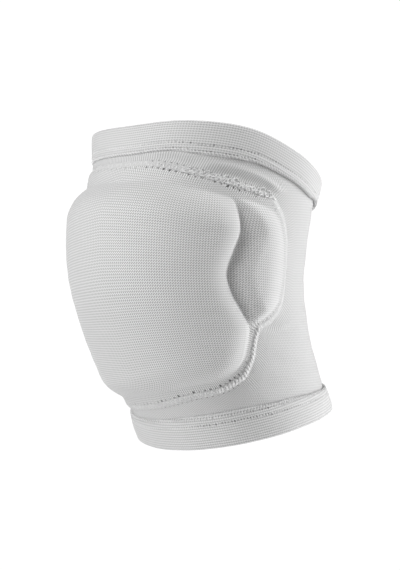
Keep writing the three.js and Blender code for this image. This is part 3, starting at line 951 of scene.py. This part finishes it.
def make_cuff(name, node, rim, hem, down, course):
    out, drop = (part[:, None] for part in hem_profile())
    angle = np.linspace(-180, 180, ROUND_STEPS + 1)
    height, stand = hem_place(angle, drop, rim, hem, down)
    angle = np.broadcast_to(angle, height.shape)
    ripple = 0.15 * unevenness(angle, height, seed=9, coarseness=30.0) * (1 - ease(drop, 14, CUFF_HEIGHT))
    points = over_leg(angle, height, out + (ripple + stand) * ease(out, HEM_INSIDE, 2.5))[:, :-1]
    rows, columns = points.shape[:2]
    faces, mapped = lattice_faces(rows + 1, columns, wrap=True)
    faces = faces % (rows * columns)
    if down < 0:
        faces, mapped = faces[:, ::-1], mapped[:, ::-1]
    drop = np.append(drop, drop[:1], axis=0)
    angle = np.append(angle, angle[:1], axis=0)
    height = np.append(height, height[:1], axis=0)
    charts = {
        "knit": np.stack([angle / 360 * WALES_ROUND, (height - rim_height(angle, rim)) / course], axis=-1),
        "hem": np.stack([angle / HEM_PITCH, drop + 0 * angle], axis=-1),
    }
    # The calm share flattens the loops and takes the painted shade out of their pits at the front-left and
    # on the right, where the lights fall full.
    shares = {
        "hole_share": 0.5 * (ease(angle, 5, 45) * (1 - 0.7 * ease(angle, 65, 95)))[:-1, :-1],
        "calm_share": (0.6 - 0.6 * ease(angle, -25, 25) + 0.4 * ease(angle, 55, 85))[:-1, :-1],
    }
    cuff = make_piece(name, points, faces, cuff_knit, charts, mapped, shares)
    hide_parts(node)
    return cuff


def make_hem_stitches(name, rim, hem, down):
    """Short threads in the first row, and slanting ones that catch the hem's free edge."""
    rng = np.random.default_rng(21)
    t = np.linspace(0, 1, 5)
    paths = []
    for k in range(HEM_STITCHES):
        angle = -180 + (k + 0.2 + 0.6 * t) * HEM_PITCH
        drop = ROW_A + rng.normal(0, 0.06) + 0 * t
        height, stand = hem_place(angle, drop, rim, hem, down)
        paths.append(over_leg(angle, height, HEM_OUTSIDE - 0.5 + 0.4 * np.sin(np.pi * t) + stand))
        angle = -180 + (k + 0.1 + 0.7 * t) * HEM_PITCH
        drop = ROW_B - 0.6 + 1.7 * t + rng.normal(0, 0.08)
        height, stand = hem_place(angle, drop, rim, hem, down)
        paths.append(over_leg(angle, height, HEM_OUTSIDE - 0.2 + 0.5 * np.sin(np.pi * t) - 0.9 * t + stand))
    return thread_tubes(name, paths, HEM_THREAD_RADIUS, sewing_thread)


upper_cuff = make_cuff("knit_upper_cuff", "upper_cuff", upper_rim, upper_hem, 1, 1.28)
lower_cuff = make_cuff("knit_lower_cuff", "lower_cuff", lower_rim, lower_hem, -1, 1.38)
upper_stitches = make_hem_stitches("hem_stitches_upper", upper_rim, upper_hem, 1)
lower_stitches = make_hem_stitches("hem_stitches_lower", lower_rim, lower_hem, -1)

# The studio: a pale floor under the pad, soft lights round it, and the camera level with the
# kneecap, in front and to the right.
FLOOR_LEVEL = -0.3
floor_mesh = bpy.data.meshes.new("floor")
corners = [(-0.7, -0.7), (0.7, -0.7), (0.7, 0.7), (-0.7, 0.7)]
floor_mesh.from_pydata([(x, y, FLOOR_LEVEL) for x, y in corners], [], [(0, 1, 2, 3)])
floor = bpy.data.objects.new("floor", floor_mesh)
bpy.context.collection.objects.link(floor)
floor_paint = bpy.data.materials.new("floor_paint")
floor_paint.use_nodes = True
floor_paint.node_tree.nodes["Principled BSDF"].inputs["Base Color"].default_value = (0.9, 0.9, 0.9, 1)
floor_paint.node_tree.nodes["Principled BSDF"].inputs["Roughness"].default_value = 0.9
floor.data.materials.append(floor_paint)

world = bpy.data.worlds.new("studio")
bpy.context.scene.world = world
world.use_nodes = True
sky = world.node_tree.nodes["Background"]
sky.inputs["Color"].default_value = (1, 1, 1, 1)
sky.inputs["Strength"].default_value = 0.2
backdrop = world.node_tree.nodes.new("ShaderNodeBackground")
backdrop.inputs["Color"].default_value = (1, 1, 1, 1)
backdrop.inputs["Strength"].default_value = 1.05
seen = world.node_tree.nodes.new("ShaderNodeLightPath")
choice = world.node_tree.nodes.new("ShaderNodeMixShader")
world_links = world.node_tree.links
world_links.new(seen.outputs["Is Camera Ray"], choice.inputs["Fac"])
world_links.new(sky.outputs["Background"], choice.inputs[1])
world_links.new(backdrop.outputs["Background"], choice.inputs[2])
world_links.new(choice.outputs["Shader"], world.node_tree.nodes["World Output"].inputs["Surface"])


def to_view(direction):
    """The turn that points a light or a camera along a direction, upright."""
    x, y, z = direction / np.linalg.norm(direction)
    return (np.arccos(-z), 0, np.arctan2(-x, y))


def soft_light(name, angle, distance, height, size, power):
    """A lamp that far from the pad, at an angle from the front towards +X."""
    lamp = bpy.data.lights.new(name, "AREA")
    lamp.shape = "RECTANGLE"
    lamp.size, lamp.size_y = size
    lamp.energy = power
    light = bpy.data.objects.new(name, lamp)
    bpy.context.collection.objects.link(light)
    a = np.radians(angle)
    light.location = (distance * np.sin(a), -distance * np.cos(a), height)
    light.rotation_euler = to_view(-np.array(light.location))


soft_light("front_light", -15, 1.3, 0.3, (0.8, 1.2), 9)
soft_light("high_light", 0, 0.9, 1.0, (0.8, 1.2), 10.3)
soft_light("right_light", 139, 1.3, 0.3, (0.8, 1.2), 22)
soft_light("far_light", -125, 1.3, 0.3, (0.8, 1.2), 3)

# The photograph's scale, and the camera's distance that goes with it.
CAMERA_DISTANCE = 1.5
MM_PER_PIXEL = 0.574
PICTURE_HEIGHT = 570
SENSOR_WIDTH = 36
camera_data = bpy.data.cameras.new("camera")
camera = bpy.data.objects.new("camera", camera_data)
bpy.context.collection.objects.link(camera)
camera_data.sensor_width = SENSOR_WIDTH
camera_data.lens = SENSOR_WIDTH * CAMERA_DISTANCE / MM / (PICTURE_HEIGHT * MM_PER_PIXEL)
view_angle = np.radians(45)
towards = np.array([-np.sin(view_angle), np.cos(view_angle), 0])
camera.location = np.array([0, 0.003, 0]) - towards * CAMERA_DISTANCE
camera.rotation_euler = to_view(towards)
bpy.context.scene.camera = camera
bpy.context.scene.view_settings.view_transform = "Standard"
